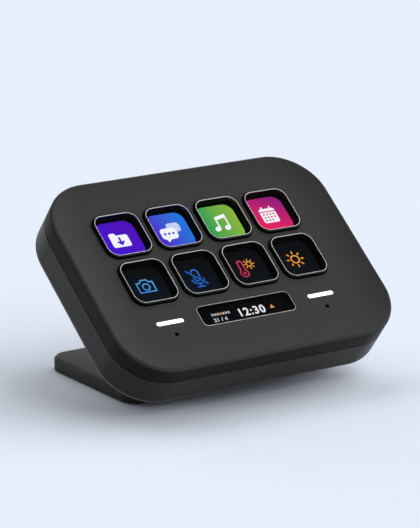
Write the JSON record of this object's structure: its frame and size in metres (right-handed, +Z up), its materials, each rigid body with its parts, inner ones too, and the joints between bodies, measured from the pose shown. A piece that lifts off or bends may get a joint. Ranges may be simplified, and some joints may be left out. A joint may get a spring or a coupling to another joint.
{
  "type": "macro keypad",
  "caption": "Tilted desktop macro keypad with clear display keys, an info strip and lit touch points on a flat foot.",
  "frame": {"origin": "on the table, under the middle of the whole object's box", "axes": "+Z up, +X to the user's right, +Y away from the user"},
  "size_m": [0.107, 0.0768, 0.0656],
  "materials": {
    "cover_plastic": "fine satin texture",
    "rear_plastic": "fine satin texture",
    "stand_plastic": "fine satin texture",
    "window_clear": "polished, smoked",
    "light_bar": "frosted, lit white",
    "key_clear": "polished",
    "key_black": "black",
    "frame_plastic": "black",
    "silicone": "dark silicone",
    "circuit_film": "amber film",
    "display_glass": "display glass",
    "backlight_white": "white light guide",
    "tray_steel": "plain sheet",
    "insulator_film": "black film",
    "circuit_board": "green solder mask",
    "chip_black": "moulded package",
    "socket_steel": "plated shell",
    "tongue_plastic": "black",
    "screw_steel": "zinc plated",
    "weight_steel": "plain plate",
    "pad_rubber": "matt"
  },
  "bodies": {
    "root": {"front_cover": "cover_plastic", "rear_cover": "rear_plastic", "info_window": "window_clear", "light_bar_left": "light_bar", "touch_board_left": "circuit_board", "light_bar_right": "light_bar", "touch_board_right": "circuit_board", "key_guide_frame": "frame_plastic", "switch_membrane": "silicone", "switch_film": "circuit_film", "film_ribbon": "circuit_film", "display_panel": "display_glass", "display_ribbon": "circuit_film", "backlight": "backlight_white", "display_tray": "tray_steel", "insulator": "insulator_film", "main_board": "circuit_board", "board_parts": "chip_black", "usb_socket": "socket_steel", "usb_tongue": "tongue_plastic", "board_screws": "screw_steel", "housing_screws": "screw_steel", "stand_screws": "screw_steel", "neck_screws": "screw_steel", "stand": "stand_plastic", "stand_neck": "stand_plastic", "stand_weight": "weight_steel", "foot_pad": "pad_rubber"},
    "key_1": {"key_lens_1": "key_clear", "key_skirt_1": "key_black"},
    "key_2": {"key_lens_2": "key_clear", "key_skirt_2": "key_black"},
    "key_3": {"key_lens_3": "key_clear", "key_skirt_3": "key_black"},
    "key_4": {"key_lens_4": "key_clear", "key_skirt_4": "key_black"},
    "key_5": {"key_lens_5": "key_clear", "key_skirt_5": "key_black"},
    "key_6": {"key_lens_6": "key_clear", "key_skirt_6": "key_black"},
    "key_7": {"key_lens_7": "key_clear", "key_skirt_7": "key_black"},
    "key_8": {"key_lens_8": "key_clear", "key_skirt_8": "key_black"}
  },
  "joints": [
    {"name": "key_1_press", "type": "slide", "parent": "root", "child": "key_1", "axis": [0, 0.617, -0.7869], "range_m": [0, 0.001], "stiffness_N_per_m": 400, "springref_m": -0.0005, "deforming": ["switch_membrane"]},
    {"name": "key_2_press", "type": "slide", "parent": "root", "child": "key_2", "axis": [0, 0.617, -0.7869], "range_m": [0, 0.001], "stiffness_N_per_m": 400, "springref_m": -0.0005, "deforming": ["switch_membrane"]},
    {"name": "key_3_press", "type": "slide", "parent": "root", "child": "key_3", "axis": [0, 0.617, -0.7869], "range_m": [0, 0.001], "stiffness_N_per_m": 400, "springref_m": -0.0005, "deforming": ["switch_membrane"]},
    {"name": "key_4_press", "type": "slide", "parent": "root", "child": "key_4", "axis": [0, 0.617, -0.7869], "range_m": [0, 0.001], "stiffness_N_per_m": 400, "springref_m": -0.0005, "deforming": ["switch_membrane"]},
    {"name": "key_5_press", "type": "slide", "parent": "root", "child": "key_5", "axis": [0, 0.617, -0.7869], "range_m": [0, 0.001], "stiffness_N_per_m": 400, "springref_m": -0.0005, "deforming": ["switch_membrane"]},
    {"name": "key_6_press", "type": "slide", "parent": "root", "child": "key_6", "axis": [0, 0.617, -0.7869], "range_m": [0, 0.001], "stiffness_N_per_m": 400, "springref_m": -0.0005, "deforming": ["switch_membrane"]},
    {"name": "key_7_press", "type": "slide", "parent": "root", "child": "key_7", "axis": [0, 0.617, -0.7869], "range_m": [0, 0.001], "stiffness_N_per_m": 400, "springref_m": -0.0005, "deforming": ["switch_membrane"]},
    {"name": "key_8_press", "type": "slide", "parent": "root", "child": "key_8", "axis": [0, 0.617, -0.7869], "range_m": [0, 0.001], "stiffness_N_per_m": 400, "springref_m": -0.0005, "deforming": ["switch_membrane"]}
  ]
}
